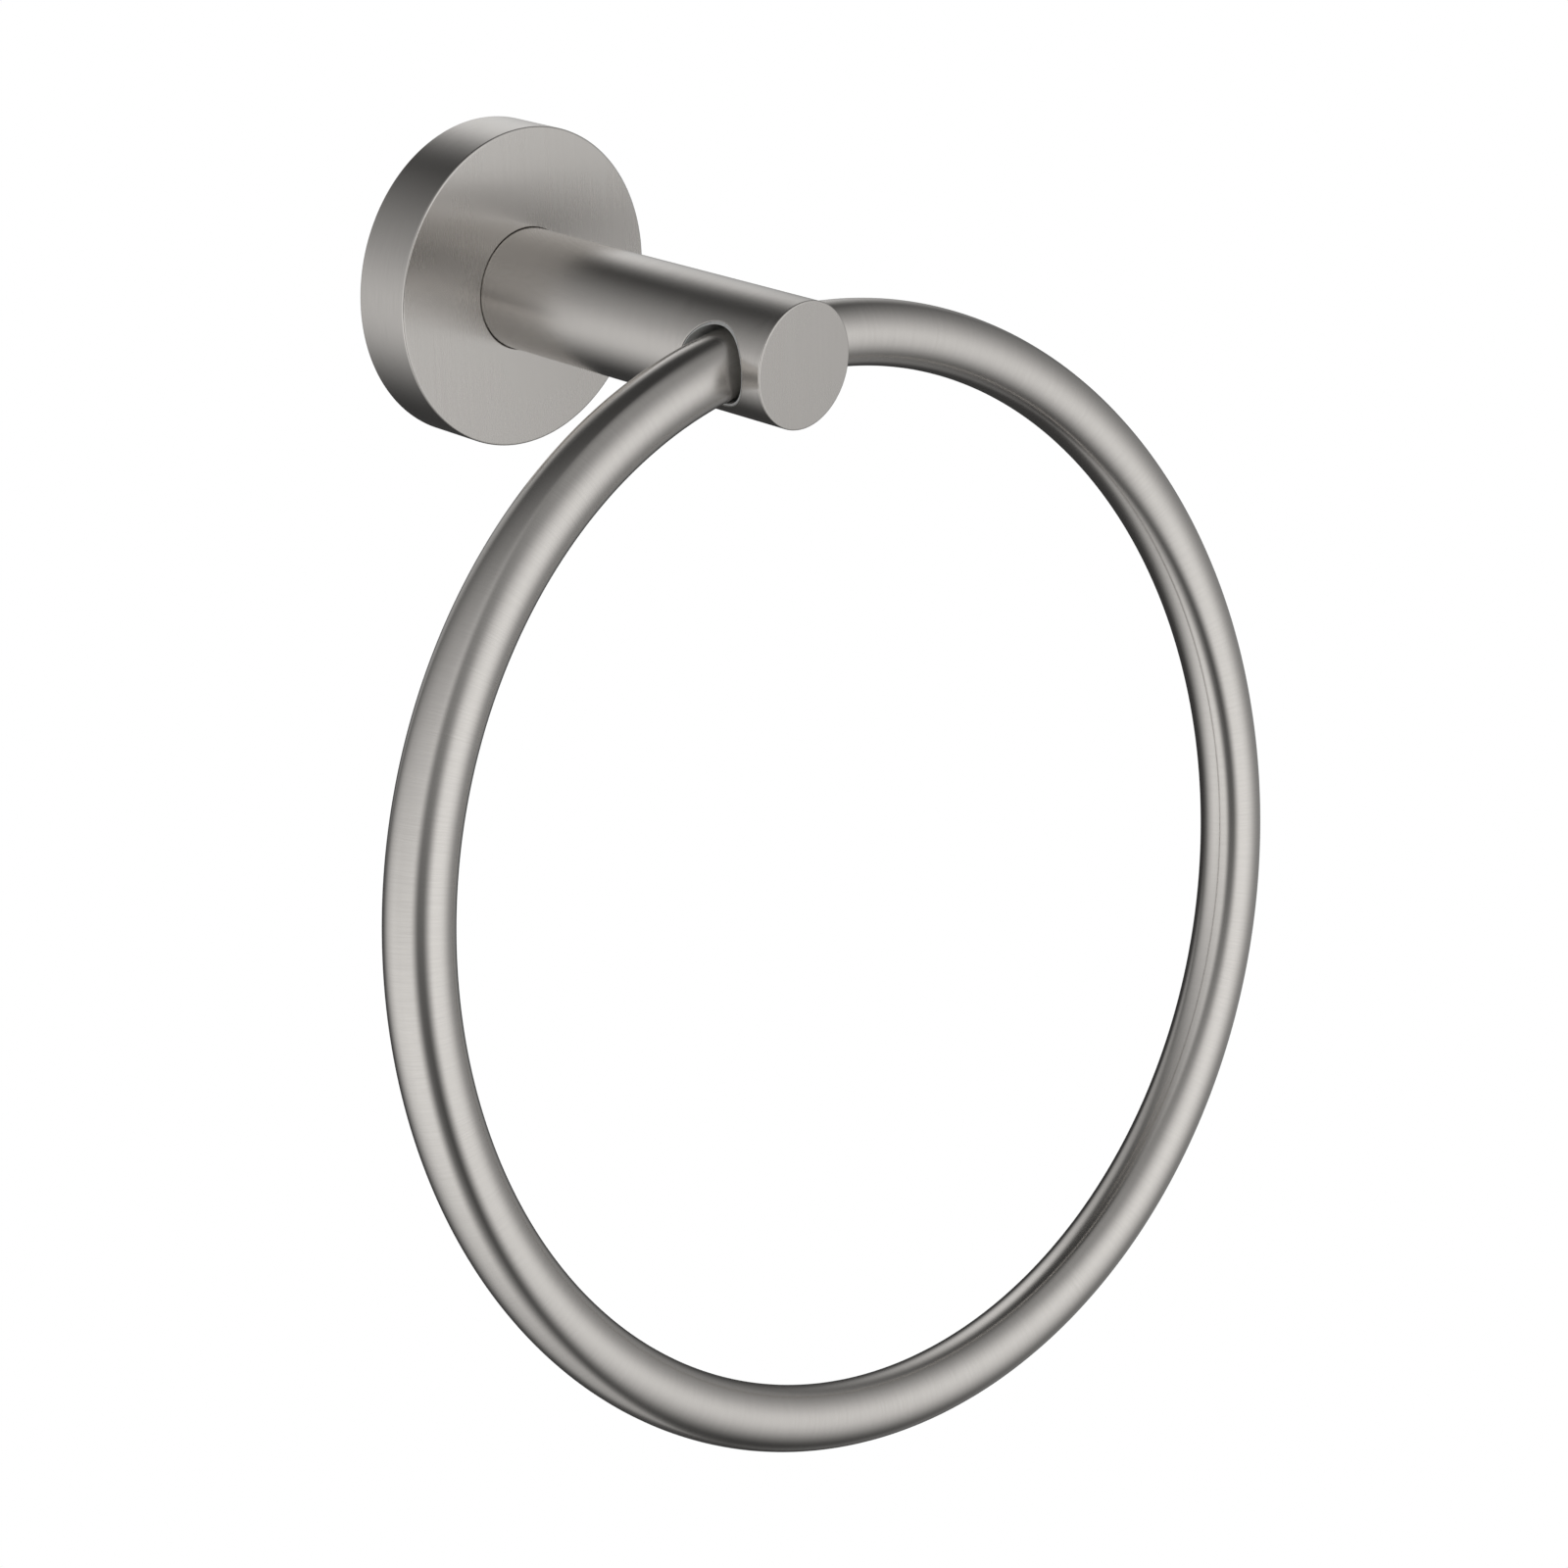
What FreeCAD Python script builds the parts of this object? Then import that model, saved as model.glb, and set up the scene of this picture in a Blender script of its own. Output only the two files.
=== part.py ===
import FreeCAD, Part
import math
import os

# Wall-mounted towel ring in millimetres, +Z up.
# The origin is the centre of the rose on the wall face, and the post stands out along -Y.

Vector = FreeCAD.Vector
AXIS_X = Vector(1, 0, 0)
AXIS_Y = Vector(0, 1, 0)
AXIS_Z = Vector(0, 0, 1)

# Rose: the round cup that covers the bracket on the wall
rose_diameter = 50.0
rose_depth = 10.1
rose_face = 3.0
rose_wall = 2.8
rose_edge = 0.35
seat_depth = 0.8
seat_clearance = 0.15

# Post
post_diameter = 19.0
projection = 69.5
post_edge = 0.3
ring_setback = 9.7

# Plastic liner in the post's cross hole, and the play that the ring has in it
ring_play = 0.75
liner_wall = 0.45
liner_clearance = 0.04
liner_inset = 0.1

# Ring, hanging in the liner, a little out of square because it is loose there
ring_diameter = 166.6
tube_diameter = 10.1
ring_tilt = 13.7
ring_yaw = -3.8
ring_lean = 2.8
ring_lift = 0.2

# Wall bracket, inside the rose
bracket_front_gap = 1.1
bracket_clearance = 0.3
bracket_bore = 16.0
groove_depth = 1.4
screw_hole = 4.5
screw_sink = 8.6
screw_spacing = 28.0

# Post screw and its lock washer, from inside the rose into the post
post_thread = 6.0
post_thread_clearance = 0.2
post_thread_depth = 14.0
post_head_diameter = 10.0
post_head_height = 3.0
post_socket = 4.0
post_socket_depth = 1.8
post_tip_gap = 1.5
washer_diameter = 11.8
washer_thickness = 1.2
washer_split = 1.2

# Grub screw in the rose's underside
grub_thread = 4.0
grub_clearance = 0.05
grub_recess = 0.3
grub_tip = 0.8
grub_tip_gap = 0.05
grub_socket = 2.0
grub_socket_depth = 1.6

rose_radius = rose_diameter / 2
post_radius = post_diameter / 2
tube_radius = tube_diameter / 2
liner_bore_radius = tube_radius + ring_play
hole_radius = liner_bore_radius + liner_wall
cup_radius = rose_radius - rose_wall
cup_depth = rose_depth - rose_face
seat_radius = post_radius + seat_clearance
seat_floor_y = -(rose_depth - seat_depth)
hole_y = -(projection - ring_setback)
bracket_radius = cup_radius - bracket_clearance
bracket_thickness = cup_depth - bracket_front_gap
groove_y = -bracket_thickness / 2


def along_y(radius, length, start_y):
    # round bar that runs from start_y towards the room
    return Part.makeCylinder(radius, length, Vector(0, start_y, 0), -AXIS_Y)


def hexagon_bar(across_flats, length, base, direction):
    # hexagonal socket, made along +Z and then turned to its direction
    corner_radius = across_flats / math.sqrt(3)
    corners = [Vector(corner_radius * math.cos(math.radians(60 * k)),
                      corner_radius * math.sin(math.radians(60 * k)), 0) for k in range(6)]
    bar = Part.Face(Part.makePolygon(corners + corners[:1])).extrude(AXIS_Z * length)
    bar.Placement = FreeCAD.Placement(base, FreeCAD.Rotation(AXIS_Z, direction))
    return bar


def turned(profile):
    # solid of revolution round the post's axis from (radius, y) points
    points = [Vector(radius, y, 0) for radius, y in profile]
    face = Part.Face(Part.makePolygon(points + points[:1]))
    return face.revolve(Vector(0, 0, 0), AXIS_Y, 360)


def circle_edges(shape, radius, y):
    # full circles of this radius at this depth
    return [edge for edge in shape.Edges
            if isinstance(edge.Curve, Part.Circle)
            and abs(edge.Curve.Radius - radius) < 0.001
            and abs(edge.Curve.Center.y - y) < 0.001]


def make_rose():
    # a turned cup: flat face, straight rim, a shallow seat for the post
    through = post_thread / 2 + post_thread_clearance
    rose = turned([
        (through, seat_floor_y),
        (seat_radius, seat_floor_y),
        (seat_radius, -rose_depth),
        (rose_radius, -rose_depth),
        (rose_radius, 0),
        (cup_radius, 0),
        (cup_radius, -cup_depth),
        (through, -cup_depth),
    ])
    rose = rose.makeChamfer(rose_edge, circle_edges(rose, rose_radius, -rose_depth))
    tapped = Part.makeCylinder(grub_thread / 2 + grub_clearance, 2 * rose_wall + bracket_clearance,
                               Vector(0, groove_y, -rose_radius - rose_wall / 2), AXIS_Z)
    return rose.cut(tapped)


def make_post():
    # a solid round bar with a cross hole near its free end and a tapped hole in its back
    post = along_y(post_radius, projection + seat_floor_y, seat_floor_y)
    post = post.makeChamfer(post_edge, circle_edges(post, post_radius, -projection))
    cross_hole = Part.makeCylinder(hole_radius, 2 * post_diameter, Vector(-post_diameter, hole_y, 0), AXIS_X)
    tapped = along_y(post_thread / 2, post_thread_depth, seat_floor_y)
    return post.cut(cross_hole).cut(tapped)


def make_liner():
    # a short tube whose flat ends stop where the hole's mouth is shallowest
    half_length = math.sqrt(post_radius ** 2 - hole_radius ** 2) - liner_inset
    outer_radius = hole_radius - liner_clearance
    base = Vector(-half_length, hole_y, 0)
    outer = Part.makeCylinder(outer_radius, 2 * half_length, base, AXIS_X)
    return outer.cut(Part.makeCylinder(liner_bore_radius, 2 * half_length, base, AXIS_X))


def make_ring():
    # a full ring of round bar through the liner; its bottom stands away from the wall
    ring_radius = ring_diameter / 2
    ring = Part.makeTorus(ring_radius, tube_radius, Vector(0, 0, -ring_radius), AXIS_Y)
    ring.rotate(Vector(0, 0, 0), AXIS_Y, -ring_lean)
    ring.rotate(Vector(0, 0, 0), AXIS_X, -ring_tilt)
    ring.rotate(Vector(0, 0, 0), AXIS_Z, ring_yaw)
    ring.translate(Vector(0, hole_y, ring_lift))
    return ring


def make_bracket():
    # a turned disc with a 90 degree groove round its rim, and two countersunk holes for wall screws
    bracket = turned([
        (bracket_bore / 2, 0),
        (bracket_radius, 0),
        (bracket_radius, groove_y + groove_depth),
        (bracket_radius - groove_depth, groove_y),
        (bracket_radius, groove_y - groove_depth),
        (bracket_radius, -bracket_thickness),
        (bracket_bore / 2, -bracket_thickness),
    ])
    sink_depth = (screw_sink - screw_hole) / 2
    for side in (-1, 1):
        front = Vector(side * screw_spacing / 2, -bracket_thickness, 0)
        bracket = bracket.cut(Part.makeCylinder(screw_hole / 2, bracket_thickness, front, AXIS_Y))
        bracket = bracket.cut(Part.makeCone(screw_sink / 2, screw_hole / 2, sink_depth, front, AXIS_Y))
    return bracket


def make_lock_washer():
    # a split ring between the rose and the screw head
    start_y = -cup_depth + washer_thickness
    ring = along_y(washer_diameter / 2, washer_thickness, start_y)
    ring = ring.cut(along_y(post_thread / 2 + post_thread_clearance, washer_thickness, start_y))
    slot = Part.makeBox(washer_split, washer_thickness, washer_diameter,
                        Vector(-washer_split / 2, -cup_depth, 0))
    return ring.cut(slot)


def make_post_screw():
    # a socket cap screw that pulls the post into the rose's seat
    head_y = -cup_depth + washer_thickness + post_head_height
    tip_y = seat_floor_y - post_thread_depth + post_tip_gap
    screw = along_y(post_head_diameter / 2, post_head_height, head_y)
    screw = screw.fuse(along_y(post_thread / 2, head_y - tip_y, head_y))
    socket = hexagon_bar(post_socket, post_socket_depth, Vector(0, head_y, 0), -AXIS_Y)
    return screw.cut(socket).removeSplitter()


def make_grub_screw():
    # a 90 degree cone-point set screw from the rose's underside into the bracket's groove
    outer_z = -(rose_radius - grub_recess)
    tip_z = -(bracket_radius - groove_depth) - grub_tip / 2 - grub_tip_gap
    cone_length = (grub_thread - grub_tip) / 2
    body = Part.makeCylinder(grub_thread / 2, tip_z - outer_z - cone_length,
                             Vector(0, groove_y, outer_z), AXIS_Z)
    cone = Part.makeCone(grub_thread / 2, grub_tip / 2, cone_length,
                         Vector(0, groove_y, tip_z - cone_length), AXIS_Z)
    socket = hexagon_bar(grub_socket, grub_socket_depth, Vector(0, groove_y, outer_z), AXIS_Z)
    return body.fuse(cone).cut(socket).removeSplitter()


pieces = {
    "rose": make_rose,
    "post": make_post,
    "ring_liner": make_liner,
    "ring": make_ring,
    "wall_bracket": make_bracket,
    "lock_washer": make_lock_washer,
    "post_screw": make_post_screw,
    "grub_screw": make_grub_screw,
}

os.makedirs("parts", exist_ok=True)
for name, make in pieces.items():
    shape = make()
    shape.exportStep("parts/" + name + ".step")
    box = shape.BoundBox
    print(name, "solids", len(shape.Solids), "valid", shape.isValid(), "volume", round(shape.Volume, 1),
          "x", round(box.XMin, 2), round(box.XMax, 2), "y", round(box.YMin, 2), round(box.YMax, 2),
          "z", round(box.ZMin, 2), round(box.ZMax, 2))
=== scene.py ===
import math

import bmesh
import bpy
from mathutils import Euler, Matrix, Vector


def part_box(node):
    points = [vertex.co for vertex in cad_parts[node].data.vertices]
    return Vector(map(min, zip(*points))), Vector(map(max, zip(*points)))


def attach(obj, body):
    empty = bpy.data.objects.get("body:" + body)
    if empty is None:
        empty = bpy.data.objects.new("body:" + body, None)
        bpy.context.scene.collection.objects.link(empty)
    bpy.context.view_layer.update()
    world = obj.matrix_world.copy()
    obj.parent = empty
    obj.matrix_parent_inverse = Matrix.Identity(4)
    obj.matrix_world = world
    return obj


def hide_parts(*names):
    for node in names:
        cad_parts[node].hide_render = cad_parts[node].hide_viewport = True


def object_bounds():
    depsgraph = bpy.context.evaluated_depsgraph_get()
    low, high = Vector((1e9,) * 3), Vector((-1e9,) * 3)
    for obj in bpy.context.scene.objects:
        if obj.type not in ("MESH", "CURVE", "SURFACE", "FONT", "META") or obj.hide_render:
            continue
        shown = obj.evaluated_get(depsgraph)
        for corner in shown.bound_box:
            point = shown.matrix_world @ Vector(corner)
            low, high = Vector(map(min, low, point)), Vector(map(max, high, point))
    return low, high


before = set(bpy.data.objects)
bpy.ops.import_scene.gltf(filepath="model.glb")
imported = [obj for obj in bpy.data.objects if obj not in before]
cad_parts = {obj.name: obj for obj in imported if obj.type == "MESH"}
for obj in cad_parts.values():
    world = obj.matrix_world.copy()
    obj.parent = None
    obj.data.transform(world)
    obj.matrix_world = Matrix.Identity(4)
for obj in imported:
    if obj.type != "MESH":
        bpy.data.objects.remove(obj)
cadLow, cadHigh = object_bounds()
mm = 0.001
print("stage: frame loaded")

scene = bpy.context.scene
scene.view_settings.view_transform = "Standard"


# camera, fitted to the outlines in the photo

cameraView = {
    "azimuth": -46.064,        # degrees, 0 looks along +Y
    "elevation": 25.487,
    "roll": -0.83,
    "distance": 490.4 * mm,    # to the target
    "target": (0, -40 * mm, -60 * mm),
    "offset": (-17.608 * mm, 14.455 * mm),  # how far right of the centre and above it the target lies
    "focalPixels": 3165.94,    # in the photo's 1600 pixel frame
    "framePixels": 1600,
    "sensor": 36,
    "nearest": 10 * mm,        # nothing closer to the camera is drawn
}


def addObject(name, data):
    made = bpy.data.objects.new(name, data)
    scene.collection.objects.link(made)
    return made


def addCamera(view):
    azimuth = math.radians(view["azimuth"])
    elevation = math.radians(view["elevation"])
    roll = math.radians(view["roll"])
    back = Vector((math.sin(azimuth) * math.cos(elevation),
                   -math.cos(azimuth) * math.cos(elevation),
                   math.sin(elevation)))
    level = Vector((math.cos(azimuth), math.sin(azimuth), 0))
    upright = back.cross(level)
    right = math.cos(roll) * level + math.sin(roll) * upright
    up = math.cos(roll) * upright - math.sin(roll) * level
    data = bpy.data.cameras.new("photoCamera")
    data.sensor_width = view["sensor"]
    data.lens = view["focalPixels"] / view["framePixels"] * view["sensor"]
    data.clip_start = view["nearest"]
    camera = addObject("photoCamera", data)
    place = Vector(view["target"]) + back * view["distance"]
    place -= right * view["offset"][0] + up * view["offset"][1]
    turned = Matrix((right, up, back)).transposed().to_4x4()
    camera.matrix_world = Matrix.Translation(place) @ turned
    scene.camera = camera


addCamera(cameraView)
print("stage: camera placed")


# node helpers

noiseLow = 0.3                 # a noise texture's values seldom leave this range
noiseHigh = 0.7


def feed(tree, socket, value):
    # a socket takes another node's output or a plain value
    if isinstance(value, bpy.types.NodeSocket):
        tree.links.new(value, socket)
    else:
        socket.default_value = value


def addNode(tree, kind, **inputs):
    # an underscore stands for the space in a socket's name
    node = tree.nodes.new(kind)
    for name, value in inputs.items():
        feed(tree, node.inputs[name.replace("_", " ")], value)
    return node


def mathNode(tree, kind, operation, values):
    node = tree.nodes.new(kind)
    node.operation = operation
    for socket, value in zip(node.inputs, values):
        feed(tree, socket, value)
    return node.outputs


def vectorMath(tree, operation, *values):
    return mathNode(tree, "ShaderNodeVectorMath", operation, values)["Vector"]


def numberMath(tree, operation, *values):
    return mathNode(tree, "ShaderNodeMath", operation, values)["Value"]


def spread(tree, noise, low, high):
    # a noise value remapped to the range low to high
    node = addNode(tree, "ShaderNodeMapRange", Value=noise, From_Min=noiseLow, From_Max=noiseHigh,
                   To_Min=low, To_Max=high)
    return node.outputs["Result"]


def spreadAround(tree, noise, middle, reach):
    return spread(tree, noise, middle - reach, middle + reach)


def mixedTint(tree, noise, tint, dark, light):
    # a colour between two shares of the tint; the node's colour sockets go by their places
    share, darkColour, lightColour, mixed = 0, 6, 7, 2
    node = tree.nodes.new("ShaderNodeMix")
    node.data_type = "RGBA"
    feed(tree, node.inputs[share], spread(tree, noise, 0, 1))
    feed(tree, node.inputs[darkColour], (*(Vector(tint) * dark), 1))
    feed(tree, node.inputs[lightColour], (*(Vector(tint) * light), 1))
    return node.outputs[mixed]


def noiseAt(tree, coordinate, w=None, detail=3):
    node = addNode(tree, "ShaderNodeTexNoise", Scale=1.0, Detail=detail, Vector=coordinate)
    if w:
        node.noise_dimensions = "4D"
        tree.links.new(w, node.inputs["W"])
    return node.outputs["Fac"]


def objectPlace(tree):
    return tree.nodes.new("ShaderNodeTexCoord").outputs["Object"]


def objectNoise(tree, scales, detail=3):
    # noise in the piece's own coordinates, with a scale for each axis
    return noiseAt(tree, vectorMath(tree, "MULTIPLY", objectPlace(tree), scales), detail=detail)


def meshVector(tree, name):
    # an attribute that comes with the mesh
    node = tree.nodes.new("ShaderNodeAttribute")
    node.attribute_name = name
    return node.outputs["Vector"]


def newMaterial(name):
    material = bpy.data.materials.new(name)
    material.use_nodes = True
    tree = material.node_tree
    tree.nodes.clear()
    output = tree.nodes.new("ShaderNodeOutputMaterial")
    shader = tree.nodes.new("ShaderNodeBsdfPrincipled")
    tree.links.new(shader.outputs["BSDF"], output.inputs["Surface"])
    return material, tree, shader


def addBump(tree, shader, height, depth):
    bump = addNode(tree, "ShaderNodeBump", Height=height, Distance=depth, Strength=1.0)
    tree.links.new(bump.outputs["Normal"], shader.inputs["Normal"])


# satin nickel: fine brush lines blur a reflection across them and keep it crisp along them

nickel = {
    "tint": (0.664, 0.639, 0.61),
    "darkLine": 0.96,          # share of the tint in a brush line
    "lightLine": 1.02,
    "roughness": 0.21,
    "roughnessSpread": 0.015,
    "anisotropy": 0.8,
    "lineDepth": 0.0012 * mm,
    "lineWidth": 0.16 * mm,
    "lineLength": 5.0 * mm,
    "cloudSize": 14.0 * mm,    # faint cloudy patches in the finish
    "cloudRoughness": 0.012,
}
# the flat faces are brushed up and down, more faintly; their tints carry painted light and shade: the
# rose's face is painted lighter than the nickel, the post's end face darker
roseFacePaintedLight = {**nickel, "tint": (0.709, 0.683, 0.652), "darkLine": 0.975, "lightLine": 1.01,
            "roughness": 0.27, "roughnessSpread": 0.009, "anisotropy": 0.95,
            "lineLength": 16.0 * mm, "lineDepth": 0.0}
# the post's end face: the same finish with its tint darkened, painted shade
endFacePaintedShade = {**roseFacePaintedLight, "tint": (0.618, 0.595, 0.568)}


def brushedMetal(name, look, grain, tangent):
    # grain makes the noise along the lines and tangent the direction of the blur
    material, tree, shader = newMaterial(name)
    lines = grain(tree)
    clouds = objectNoise(tree, [1 / look["cloudSize"]] * 3, detail=1)
    colour = mixedTint(tree, lines, look["tint"], look["darkLine"], look["lightLine"])
    tree.links.new(colour, shader.inputs["Base Color"])
    # the dark lines are the rougher ones
    fine = spreadAround(tree, lines, look["roughness"], -look["roughnessSpread"])
    broad = spreadAround(tree, clouds, 0, look["cloudRoughness"])
    tree.links.new(numberMath(tree, "ADD", fine, broad), shader.inputs["Roughness"])
    addBump(tree, shader, lines, look["lineDepth"])
    shader.inputs["Metallic"].default_value = 1
    shader.inputs["Anisotropic"].default_value = look["anisotropy"]
    tree.links.new(tangent(tree), shader.inputs["Tangent"])
    return material


def objectGrain(look, across):
    # lines that are thin along the axis named across and long along the other two
    fine, slow = 1 / look["lineWidth"], 1 / look["lineLength"]
    scales = [fine if axis == across else slow for axis in "xyz"]

    def build(tree):
        return objectNoise(tree, scales)
    return build


def fixedTangent(direction):
    def build(tree):
        node = addNode(tree, "ShaderNodeCombineXYZ", X=direction[0], Y=direction[1], Z=direction[2])
        return node.outputs["Vector"]
    return build


def barGrain(look, barRadius):
    # on the ring the lines run round the bar: centreLine and around come with the mesh
    fine, slow = 1 / look["lineWidth"], barRadius / look["lineLength"]

    def build(tree):
        outward = vectorMath(tree, "MULTIPLY", meshVector(tree, "around"), [slow] * 3)
        split = addNode(tree, "ShaderNodeSeparateXYZ", Vector=outward)
        sideways = addNode(tree, "ShaderNodeCombineXYZ", Y=split.outputs["X"])
        along = vectorMath(tree, "MULTIPLY", meshVector(tree, "centreLine"), (fine, 0, fine))
        place = vectorMath(tree, "ADD", along, sideways.outputs["Vector"])
        return noiseAt(tree, place, w=split.outputs["Y"])
    return build


def barTangent(tree):
    turned = addNode(tree, "ShaderNodeVectorTransform", Vector=meshVector(tree, "alongBar"))
    turned.vector_type = "VECTOR"
    turned.convert_from = "OBJECT"
    turned.convert_to = "WORLD"
    return turned.outputs["Vector"]


# plain finishes of the hidden and small pieces

# dark and light are shares of the tint in a speck
speckled = {"dark": 0.9, "light": 1.1, "roughnessSpread": 0.05}
linerLook = {**speckled, "tint": (0.58, 0.585, 0.58), "roughness": 0.5, "speck": 0.35 * mm,
             "depth": 0.004 * mm}
screwLook = {**speckled, "tint": (0.46, 0.46, 0.46), "roughness": 0.32, "speck": 0.5 * mm,
             "depth": 0.003 * mm}
bracketLook = {"tint": (0.5, 0.5, 0.49), "roughness": 0.38, "roughnessSpread": 0.08,
               "pitch": 0.25 * mm, "depth": 0.006 * mm}


def speckledMaterial(name, look, metallic):
    material, tree, shader = newMaterial(name)
    specks = objectNoise(tree, [1 / look["speck"]] * 3)
    colour = mixedTint(tree, specks, look["tint"], look["dark"], look["light"])
    tree.links.new(colour, shader.inputs["Base Color"])
    roughness = spreadAround(tree, specks, look["roughness"], look["roughnessSpread"])
    tree.links.new(roughness, shader.inputs["Roughness"])
    addBump(tree, shader, specks, look["depth"])
    shader.inputs["Metallic"].default_value = metallic
    return material


def latheMarkedMaterial(name, look):
    # turned steel: fine rings round the bracket's axis
    material, tree, shader = newMaterial(name)
    flat = vectorMath(tree, "MULTIPLY", objectPlace(tree), (1, 0, 1))
    radius = mathNode(tree, "ShaderNodeVectorMath", "LENGTH", [flat])["Value"]
    rings = addNode(tree, "ShaderNodeTexNoise", Scale=1.0, Detail=2.0)
    rings.noise_dimensions = "1D"
    tree.links.new(numberMath(tree, "DIVIDE", radius, look["pitch"]), rings.inputs["W"])
    marks = rings.outputs["Fac"]
    shader.inputs["Base Color"].default_value = (*look["tint"], 1)
    roughness = spreadAround(tree, marks, look["roughness"], look["roughnessSpread"])
    tree.links.new(roughness, shader.inputs["Roughness"])
    addBump(tree, shader, marks, look["depth"])
    shader.inputs["Metallic"].default_value = 1
    return material


# mesh helpers

meshCare = {
    "merge": 0.0005 * mm,      # points closer than this become one
    "turnOutward": True,
    "sharpAngle": 35,          # degrees; faces that meet more sharply keep a crisp corner
    "roundSteps": 5,
    "support": 0.12 * mm,      # from a rounding to the points that keep the flat beside it flat
    "flatNormal": 0.995,       # how squarely a flat face looks along the post's axis
}


def finishPiece(name, mesh, materials, body, slot, *nodes):
    piece = addObject(name, mesh)
    mesh.materials.clear()
    for material in materials:
        mesh.materials.append(material)
    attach(piece, body)
    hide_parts(*nodes)


def modifiedMesh(piece):
    # the mesh that the object's modifiers make
    bpy.context.view_layer.update()
    graph = bpy.context.evaluated_depsgraph_get()
    return bpy.data.meshes.new_from_object(piece.evaluated_get(graph))


def cleanMesh(mesh, care=meshCare):
    # one closed skin with outward faces, smooth except at real corners
    work = bmesh.new()
    work.from_mesh(mesh)
    bmesh.ops.remove_doubles(work, verts=work.verts, dist=care["merge"])
    if care["turnOutward"]:
        bmesh.ops.recalc_face_normals(work, faces=work.faces)
    for polygon in work.faces:
        polygon.smooth = True
    work.to_mesh(mesh)
    work.free()
    mesh.set_sharp_from_angle(angle=math.radians(care["sharpAngle"]))
    return mesh


def gridMesh(name, grids):
    # each grid is rows of equally many points, joined by quads; cleanMesh merges shared borders
    points, quads = [], []
    for rows in grids:
        start, width = len(points), len(rows[0])
        for row in rows:
            points.extend(row)
        for i in range(len(rows) - 1):
            for j in range(width - 1):
                a = start + i * width + j
                quads.append((a, a + 1, a + width + 1, a + width))
    mesh = bpy.data.meshes.new(name)
    mesh.from_pydata(points, [], quads)
    mesh.validate()
    return mesh


def evenly(low, high, count):
    return [low + (high - low) * k / count for k in range(count + 1)]


def roundedCorner(start, corner, end, steps):
    # a smooth bend from start to end that leans towards the corner
    return [start.lerp(corner, t).lerp(corner.lerp(end, t), t) for t in evenly(0, 1, steps)]


def roundProfile(corners):
    # corners are (radius, along, rounding)
    points = [Vector(corner[:2]) for corner in corners]
    profile = []
    for k, point in enumerate(points):
        rounding = corners[k][2]
        if not rounding:
            profile.append(point)
            continue
        back = (points[k - 1] - point).normalized()
        ahead = (points[k + 1] - point).normalized()
        start, end = point + back * rounding, point + ahead * rounding
        bend = roundedCorner(start, point, end, meshCare["roundSteps"])
        profile.append(bend[0] + back * meshCare["support"])
        profile.extend(bend)
        profile.append(bend[-1] + ahead * meshCare["support"])
    return profile


def roundPost(radius, along, angle):
    # angle 0 points along +X and 90 degrees along +Z
    return (radius * math.cos(angle), along, radius * math.sin(angle))


def revolveGrid(profile, angles):
    return [[roundPost(p.x, p.y, angle) for angle in angles] for p in profile]


def markFlats(mesh):
    # flat front and back faces take the piece's second finish
    for polygon in mesh.polygons:
        polygon.material_index = 1 if abs(polygon.normal.y) > meshCare["flatNormal"] else 0


# rose: turned cup with a seat for the post

roseSize = {
    "edge": 0.28 * mm,
    "smallEdge": 0.15 * mm,
    "face": 3.0 * mm,
    "wall": 2.8 * mm,
    "seatDepth": 0.8 * mm,
    "seatClearance": 0.09 * mm,
    "screwHole": 3.2 * mm,
    "grubHole": 2.05 * mm,
    "drillStart": 1.1,         # of the outer radius
    "drillEnd": 0.9,           # of the cup's radius
    "drillSegments": 64,
    "segments": 288,
}


def cutRound(piece, radius, segments, low, high):
    # drills a round hole along the straight line from low to high
    direction = high - low
    turned = direction.to_track_quat("Z", "Y").to_matrix().to_4x4()
    placed = Matrix.Translation((low + high) / 2) @ turned
    work = bmesh.new()
    bmesh.ops.create_cone(work, cap_ends=True, segments=segments, radius1=radius, radius2=radius,
                          depth=direction.length, matrix=placed)
    mesh = bpy.data.meshes.new("drill")
    work.to_mesh(mesh)
    work.free()
    drill = addObject("drill", mesh)
    cut = piece.modifiers.new("cut", "BOOLEAN")
    cut.operation = "DIFFERENCE"
    cut.solver = "EXACT"
    cut.object = drill
    result = modifiedMesh(piece)
    bpy.data.objects.remove(drill)
    bpy.data.objects.remove(piece)
    return result


def buildRose(size):
    low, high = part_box("rose")
    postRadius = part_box("post")[1].z
    outer, front = high.z, low.y
    cup, floor = outer - size["wall"], front + size["face"]
    seat, seatFloor = postRadius + size["seatClearance"], front + size["seatDepth"]
    small = size["smallEdge"]
    corners = [
        (size["screwHole"], (seatFloor + floor) / 2, 0),
        (size["screwHole"], seatFloor, small),
        (seat, seatFloor, small),
        (seat, front, small),
        (outer, front, size["edge"]),
        (outer, 0, small),
        (cup, 0, small),
        (cup, floor, small),
        (size["screwHole"], floor, small),
        (size["screwHole"], (seatFloor + floor) / 2, 0),
    ]
    angles = evenly(0, 2 * math.pi, size["segments"])
    mesh = cleanMesh(gridMesh("roseBody", [revolveGrid(roundProfile(corners), angles)]))
    grubLow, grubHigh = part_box("grub_screw")
    middle = (grubLow.y + grubHigh.y) / 2
    below = Vector((0, middle, -outer * size["drillStart"]))
    inside = Vector((0, middle, -cup * size["drillEnd"]))
    blank = addObject("roseBlank", mesh)
    drilled = cutRound(blank, size["grubHole"], size["drillSegments"], below, inside)
    mesh = cleanMesh(drilled)
    finishPiece("roseShell", mesh, [nickelTurned, nickelRosePaintedLight], "wall_mount", "satin_nickel", "rose")
    markFlats(mesh)


# post: solid bar with a cross hole whose mouths are rounded off where they meet the bar

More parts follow.
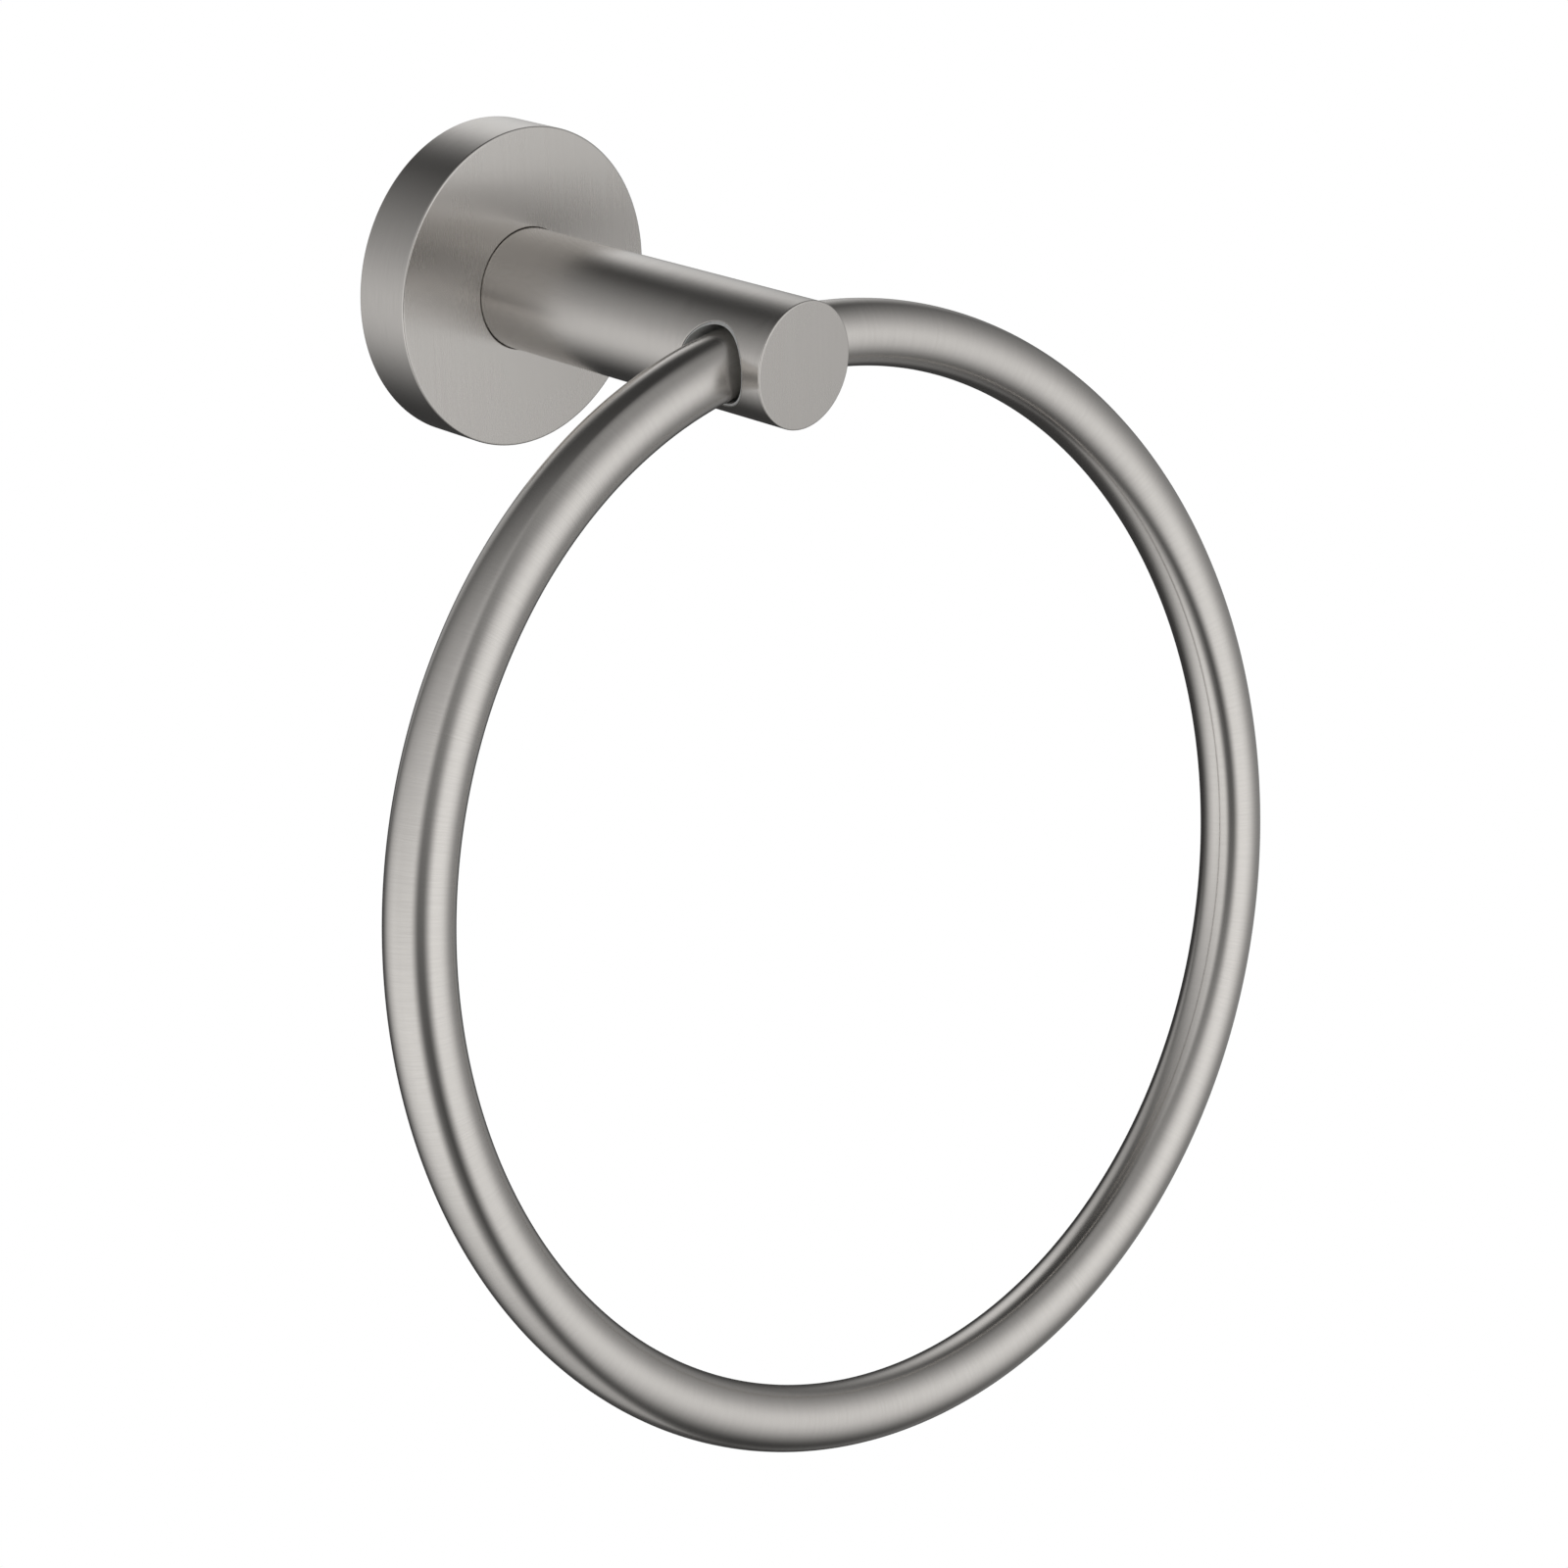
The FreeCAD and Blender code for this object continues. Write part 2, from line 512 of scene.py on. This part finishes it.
postSize = {
    "edge": 0.22 * mm,
    "backEdge": 0.1 * mm,
    "tapRadius": 3.0 * mm,
    "tapDepth": 14.0 * mm,
    "holeClearance": 0.04 * mm,  # liner to hole
    "mouthRound": 0.12 * mm,
    "window": 60,              # degrees each side of the hole's axis
    "windowLength": 8.4 * mm,  # each way along the post
    "columns": 192,
    "windowRows": 48,
    "loops": 7,
    "loopCrowding": 1.5,       # above 1 the loops draw closer towards the mouth
    "roundSteps": 4,
}


def mouthPatch(size, radius, holeRadius, holeY, side, border):
    # border is the window's closed outline in (angle, along); the rows go from it down the mouth
    rows = [[] for _ in range(size["loops"] + size["roundSteps"] + 1)]
    bend = size["mouthRound"]

    def onPost(reach, turn):
        # a point of the post's side, this far from the hole's axis in the direction turn
        z = reach * math.sin(turn)
        return Vector((math.sqrt(radius ** 2 - z ** 2), holeY + reach * math.cos(turn), z))

    for angle, along in border:
        turn = math.atan2(radius * math.sin(angle), along - holeY)
        rim = onPost(holeRadius + bend, turn)
        corner = onPost(holeRadius, turn)
        inside = corner - Vector((bend, 0, 0))
        rimAngle = math.asin(rim.z / radius)
        for k in range(size["loops"]):
            share = 1 - (1 - k / size["loops"]) ** size["loopCrowding"]
            a = angle + (rimAngle - angle) * share
            y = along + (rim.y - along) * share
            rows[k].append(Vector((radius * math.cos(a), y, radius * math.sin(a))))
        for k, point in enumerate(roundedCorner(rim, corner, inside, size["roundSteps"])):
            rows[size["loops"] + k].append(point)
    return [[Vector((side * p.x, p.y, p.z)) for p in row] for row in rows]


def buildPost(size):
    low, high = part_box("post")
    linerLow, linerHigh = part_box("ring_liner")
    radius, back, front = high.z, high.y, low.y
    holeY = (linerLow.y + linerHigh.y) / 2
    holeRadius = linerHigh.z + size["holeClearance"]
    window = math.radians(size["window"])
    rear, fore = holeY + size["windowLength"], holeY - size["windowLength"]
    angles = evenly(0, 2 * math.pi, size["columns"])
    backProfile = roundProfile([
        (0, back - size["tapDepth"], 0),
        (size["tapRadius"], back - size["tapDepth"], size["backEdge"]),
        (size["tapRadius"], back, size["backEdge"]),
        (radius, back, size["backEdge"]),
        (radius, rear, 0),
    ])
    frontProfile = roundProfile([(radius, fore, 0), (radius, front, size["edge"]), (0, front, 0)])
    grids = [revolveGrid(profile, angles) for profile in (backProfile, frontProfile)]
    lengths = evenly(rear, fore, size["windowRows"])
    # the columns split between the two windows and the two strips that part them
    between = round(size["columns"] * (math.pi - 2 * window) / (2 * math.pi))
    across = round(size["columns"] * 2 * window / (2 * math.pi))
    for middle in (math.pi / 2, 3 * math.pi / 2):
        part = evenly(middle - math.pi / 2 + window, middle + math.pi / 2 - window, between)
        grids.append([[roundPost(radius, y, a) for a in part] for y in lengths])
    span = evenly(-window, window, across)
    border = [(a, rear) for a in span[:-1]]
    border += [(window, y) for y in lengths[:-1]]
    border += [(a, fore) for a in reversed(span[1:])]
    border += [(-window, y) for y in reversed(lengths[1:])]
    border.append(border[0])
    mouths = [mouthPatch(size, radius, holeRadius, holeY, side, border) for side in (1, -1)]
    grids.extend(mouths)
    grids.append([mouths[0][-1], mouths[1][-1]])
    mesh = cleanMesh(gridMesh("postBar", grids))
    finishPiece("postBar", mesh, [nickelTurned, nickelEndPaintedShade], "wall_mount", "satin_nickel", "post")
    markFlats(mesh)


# liner: thin plastic sleeve in the cross hole, with lips that end flush with the round post

linerSize = {
    "wall": 0.41 * mm,
    "edge": 0.06 * mm,
    "edgeRun": 3,              # edges from the tip to where the straight outside ends
    "lipWall": 0.13 * mm,      # the bore widens to this wall, as the curved bar leaves the axis
    "lipInset": 0.07 * mm,     # below the post's surface
    "lipSteps": 8,
    "segments": 160,
}


def buildLiner(size):
    low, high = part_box("ring_liner")
    outer, straight, middle = high.z, high.x, (low.y + high.y) / 2
    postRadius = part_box("post")[1].z
    bore, reach = outer - size["wall"], postRadius - size["lipInset"]
    edge = size["edge"]

    def boreAt(along):
        # straight inside, then wider towards the side of the post
        share = max(0, (along - straight) / (reach - straight))
        return bore + (size["wall"] - size["lipWall"]) * share

    def mouthAt(radius, angle):
        return math.sqrt(reach ** 2 - (radius * math.sin(angle)) ** 2)

    def halfProfile(angle):
        # (radius, along) from the middle of the outside, round the lip, to the middle of the bore
        tip = mouthAt(outer, angle)
        inside = boreAt(tip)
        points = [(outer, 0), (outer, tip - size["edgeRun"] * edge), (outer, tip - edge)]
        points.append((outer - edge, tip))
        points.append((inside + edge, mouthAt(inside + edge, angle)))
        rim = mouthAt(inside, angle) - edge
        for along in reversed(evenly(straight, max(rim, straight + edge), size["lipSteps"])):
            points.append((boreAt(along), along))
        points.append((bore, straight - edge))
        points.append((bore, 0))
        return points

    def roundHole(radius, along, angle):
        return (along, middle + radius * math.cos(angle), radius * math.sin(angle))

    angles = evenly(0, 2 * math.pi, size["segments"])
    columns = [halfProfile(angle) for angle in angles]
    grids = []
    for side in (1, -1):
        rows = []
        for row in zip(*columns):
            rows.append([roundHole(r, side * x, angle) for (r, x), angle in zip(row, angles)])
        grids.append(rows)
    mesh = cleanMesh(gridMesh("linerSleeve", grids))
    finishPiece("linerSleeve", mesh, [linerPlastic], "wall_mount", "liner_plastic", "ring_liner")


# ring: a Geometry Nodes tree bends a round bar into a full circle

ringSize = {
    "barDiameter": 10.1 * mm,
    "tilt": 13.7,              # degrees, the bottom stands off the wall
    "turn": -3.8,
    "segments": 480,
    "barSegments": 72,
}


def ringPlace(size):
    # the ring's middle and radius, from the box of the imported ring
    low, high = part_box("ring")
    turned = Euler((math.radians(-size["tilt"]), 0, math.radians(size["turn"])), "XYZ")
    axis = turned.to_matrix() @ Vector((0, 1, 0))
    half = (high - low) / 2
    radius = (half.z - size["barDiameter"] / 2) / math.sqrt(1 - axis.z ** 2)
    flat = Matrix.Rotation(math.pi / 2, 3, "X")
    return (low + high) / 2, (turned.to_matrix() @ flat).to_euler("XYZ"), radius


def ringTree(material):
    tree = bpy.data.node_groups.new("bentRing", "GeometryNodeTree")
    sockets = {}
    for label, kind in (("Ring Diameter", "NodeSocketFloat"), ("Bar Diameter", "NodeSocketFloat"),
                        ("Ring Segments", "NodeSocketInt"), ("Bar Segments", "NodeSocketInt"),
                        ("Centre", "NodeSocketVector"), ("Turned", "NodeSocketVector")):
        socket = tree.interface.new_socket(name=label, in_out="INPUT", socket_type=kind)
        sockets[label] = socket.identifier
    tree.interface.new_socket(name="Geometry", in_out="OUTPUT", socket_type="NodeSocketGeometry")
    given = tree.nodes.new("NodeGroupInput").outputs
    link = tree.links.new

    def halved(socket):
        return numberMath(tree, "MULTIPLY", socket, 0.5)

    def captured(curve, field):
        node = tree.nodes.new("GeometryNodeCaptureAttribute")
        node.capture_items.new("VECTOR", "kept")
        link(curve, node.inputs[0])
        link(field, node.inputs[1])
        return node.outputs[0], node.outputs[1]

    path = addNode(tree, "GeometryNodeCurvePrimitiveCircle", Resolution=given["Ring Segments"],
                   Radius=halved(given["Ring Diameter"]))
    rotation = addNode(tree, "FunctionNodeEulerToRotation", Euler=given["Turned"])
    placed = addNode(tree, "GeometryNodeTransform", Geometry=path.outputs["Curve"],
                     Translation=given["Centre"], Rotation=rotation.outputs["Rotation"])
    position = tree.nodes.new("GeometryNodeInputPosition").outputs[0]
    tangent = tree.nodes.new("GeometryNodeInputTangent").outputs[0]
    curve, centreLine = captured(placed.outputs["Geometry"], position)
    curve, alongBar = captured(curve, tangent)
    section = addNode(tree, "GeometryNodeCurvePrimitiveCircle", Resolution=given["Bar Segments"],
                      Radius=halved(given["Bar Diameter"]))
    outward = vectorMath(tree, "NORMALIZE", position)
    profile, outward = captured(section.outputs["Curve"], outward)
    bar = tree.nodes.new("GeometryNodeCurveToMesh")
    link(curve, bar.inputs["Curve"])
    link(profile, bar.inputs["Profile Curve"])
    made = bar.outputs["Mesh"]
    for label, value in (("centreLine", centreLine), ("alongBar", alongBar), ("around", outward)):
        store = tree.nodes.new("GeometryNodeStoreNamedAttribute")
        store.data_type = "FLOAT_VECTOR"
        store.inputs["Name"].default_value = label
        link(made, store.inputs["Geometry"])
        link(value, store.inputs["Value"])
        made = store.outputs["Geometry"]
    real = addNode(tree, "GeometryNodeRealizeInstances", Geometry=made)
    finish = addNode(tree, "GeometryNodeSetMaterial", Geometry=real.outputs["Geometry"],
                     Material=material)
    output = tree.nodes.new("NodeGroupOutput")
    link(finish.outputs["Geometry"], output.inputs["Geometry"])
    return tree, sockets


def buildRing(size):
    centre, turned, radius = ringPlace(size)
    tree, sockets = ringTree(nickelBar)
    carrier = addObject("ringCarrier", bpy.data.meshes.new("ringCarrier"))
    bend = carrier.modifiers.new("bend", "NODES")
    bend.node_group = tree
    bend[sockets["Ring Diameter"]] = 2 * radius
    bend[sockets["Bar Diameter"]] = size["barDiameter"]
    bend[sockets["Ring Segments"]] = size["segments"]
    bend[sockets["Bar Segments"]] = size["barSegments"]
    bend[sockets["Centre"]] = centre
    bend[sockets["Turned"]] = turned
    mesh = cleanMesh(modifiedMesh(carrier))
    bpy.data.objects.remove(carrier)
    mesh.name = "towelRing"
    finishPiece("towelRing", mesh, [nickelBar], "towel_ring", "satin_nickel", "ring")


# hidden and small pieces keep their CAD form, as merged and smoothed copies

copyCare = {"merge": 0.001 * mm, "turnOutward": False, "sharpAngle": 30}


def smoothCopy(node, name, material, slot):
    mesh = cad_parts[node].data.copy()
    mesh.name = name
    finishPiece(name, cleanMesh(mesh, copyCare), [material], "wall_mount", slot, node)


# studio: a dim tent with soft lights on it, seen by the metal and hidden from the camera

softLights = {
    # azimuth (0 is -Y, positive toward +X) and elevation in degrees: where a light starts,
    # where it is full, from and to, and where it ends
    "left": {"glow": 0.84, "azimuth": (-192, -88, -70, -46), "elevation": (-74, -6, -6, 104)},
    "front": {"glow": 0.93, "azimuth": (-36, -6, 11, 89), "elevation": (-77, -4, -2, 66)},
    "rim": {"glow": 0.84, "azimuth": (104, 145, 147, 179), "elevation": (-15, 18, 28, 53)},
    "top": {"glow": 0.31, "azimuth": (-107, -13, 37, 127), "elevation": (-17, 42, 69, 121)},
    "low": {"glow": 0.42, "azimuth": (-178, -80, -53, -28), "elevation": (-126, -64, -64, 14)},
    "leftBack": {"glow": 0.16, "azimuth": (-168, -136, -124, -98), "elevation": (-42, -10, -2, 30)},
    "side": {"glow": 0.24, "azimuth": (44, 87, 94, 126), "elevation": (-117, -23, -12, 62)},
    "back": {"glow": 0.3, "azimuth": (158, 173, 181, 192), "elevation": (-22, 0, 22, 42)},
}
studio = {
    "tentRadius": 0.6,
    "tentCentre": (0, -50 * mm, -70 * mm),
    "tentSubdivisions": 4,
    "tentGlow": 0.045,
    "floorDrop": 1.2,          # a towel ring hangs about this far above the floor
    "floorSize": 5.0,
    "floorColour": 0.8,
}


def studioMaterial(name, build):
    material = bpy.data.materials.new(name)
    material.use_nodes = True
    tree = material.node_tree
    tree.nodes.clear()
    output = tree.nodes.new("ShaderNodeOutputMaterial")
    tree.links.new(build(tree), output.inputs["Surface"])
    return material


def fadeBetween(tree, value, start, full):
    node = addNode(tree, "ShaderNodeMapRange", Value=value, From_Min=math.radians(start),
                   From_Max=math.radians(full))
    node.interpolation_type = "SMOOTHSTEP"
    return node.outputs["Result"]


def tentGlow(tree):
    away = vectorMath(tree, "SUBTRACT", objectPlace(tree), studio["tentCentre"])
    away = vectorMath(tree, "NORMALIZE", away)
    parts = addNode(tree, "ShaderNodeSeparateXYZ", Vector=away).outputs
    forward = numberMath(tree, "MULTIPLY", parts["Y"], -1.0)
    azimuth = numberMath(tree, "ARCTAN2", parts["X"], forward)
    elevation = numberMath(tree, "ARCSINE", parts["Z"])
    total = studio["tentGlow"]
    for light in softLights.values():
        shape = light["glow"]
        for angle, bounds in ((azimuth, light["azimuth"]), (elevation, light["elevation"])):
            middle = (bounds[1] + bounds[2]) / 2
            start, first, last, end = [bound - middle for bound in bounds]
            off = numberMath(tree, "SUBTRACT", angle, math.radians(middle))
            off = numberMath(tree, "WRAP", off, math.pi, -math.pi)
            shape = numberMath(tree, "MULTIPLY", fadeBetween(tree, off, start, first), shape)
            shape = numberMath(tree, "MULTIPLY", fadeBetween(tree, off, end, last), shape)
        total = numberMath(tree, "ADD", shape, total)
    return addNode(tree, "ShaderNodeEmission", Strength=total).outputs["Emission"]


def addTent(size):
    work = bmesh.new()
    bmesh.ops.create_icosphere(work, subdivisions=size["tentSubdivisions"],
                               radius=size["tentRadius"],
                               matrix=Matrix.Translation(size["tentCentre"]))
    mesh = bpy.data.meshes.new("studioTent")
    work.to_mesh(mesh)
    work.free()
    mesh.materials.append(studioMaterial("tentGlow", tentGlow))
    tent = addObject("studioTent", mesh)
    tent.visible_camera = False
    tent.visible_transmission = False
    tent.visible_shadow = False


def addFloor(size):
    half, level = size["floorSize"] / 2, cadHigh.z - size["floorDrop"]
    mesh = bpy.data.meshes.new("paleFloor")
    corners = [(x * half, y * half, level) for x, y in ((-1, -1), (1, -1), (1, 1), (-1, 1))]
    mesh.from_pydata(corners, [], [(0, 1, 2, 3)])

    def paint(tree):
        # a pale floor that is as white as the background where the camera looks at it
        shade = size["floorColour"]
        pale = addNode(tree, "ShaderNodeBsdfDiffuse", Color=(shade, shade, shade, 1))
        white = addNode(tree, "ShaderNodeEmission", Strength=1.0)
        ray = tree.nodes.new("ShaderNodeLightPath").outputs["Is Camera Ray"]
        mix = addNode(tree, "ShaderNodeMixShader", Fac=ray)
        tree.links.new(pale.outputs["BSDF"], mix.inputs[1])
        tree.links.new(white.outputs["Emission"], mix.inputs[2])
        return mix.outputs["Shader"]

    mesh.materials.append(studioMaterial("paleFloor", paint))
    floor = addObject("paleFloor", mesh)
    floor.visible_glossy = False


def whiteWorld():
    # white where the camera, a glossy ray or a transmitted ray meets it
    world = bpy.data.worlds.new("whiteWorld")
    world.use_nodes = True
    tree = world.node_tree
    tree.nodes.clear()
    rays = tree.nodes.new("ShaderNodeLightPath").outputs
    total = rays["Is Camera Ray"]
    for kind in ("Is Glossy Ray", "Is Transmission Ray"):
        total = numberMath(tree, "MAXIMUM", total, rays[kind])
    glow = addNode(tree, "ShaderNodeBackground", Strength=total)
    glow.inputs["Color"].default_value = (1, 1, 1, 1)
    output = tree.nodes.new("ShaderNodeOutputWorld")
    tree.links.new(glow.outputs["Background"], output.inputs["Surface"])
    scene.world = world


alongX, alongY = fixedTangent((1, 0, 0)), fixedTangent((0, 1, 0))
nickelTurned = brushedMetal("nickelTurned", nickel, objectGrain(nickel, "y"), alongY)
# the rose's face takes a tint with painted light, the post's end face a tint with painted shade
nickelRosePaintedLight = brushedMetal("nickelRosePaintedLight", roseFacePaintedLight, objectGrain(roseFacePaintedLight, "x"), alongX)
nickelEndPaintedShade = brushedMetal("nickelEndPaintedShade", endFacePaintedShade, objectGrain(endFacePaintedShade, "x"), alongX)
nickelBar = brushedMetal("nickelBar", nickel, barGrain(nickel, ringSize["barDiameter"] / 2), barTangent)
linerPlastic = speckledMaterial("linerPlastic", linerLook, 0)
bracketSteel = latheMarkedMaterial("bracketSteel", bracketLook)
screwSteel = speckledMaterial("screwSteel", screwLook, 1)
print("stage: finishes made")

buildRose(roseSize)
buildPost(postSize)
buildLiner(linerSize)
buildRing(ringSize)
smoothCopy("wall_bracket", "bracketDisc", bracketSteel, "bracket_steel")
smoothCopy("lock_washer", "lockWasher", screwSteel, "screw_steel")
smoothCopy("post_screw", "postScrew", screwSteel, "screw_steel")
smoothCopy("grub_screw", "grubScrew", screwSteel, "screw_steel")
print("stage: pieces built")

addTent(studio)
addFloor(studio)
whiteWorld()
print("stage: studio lit")
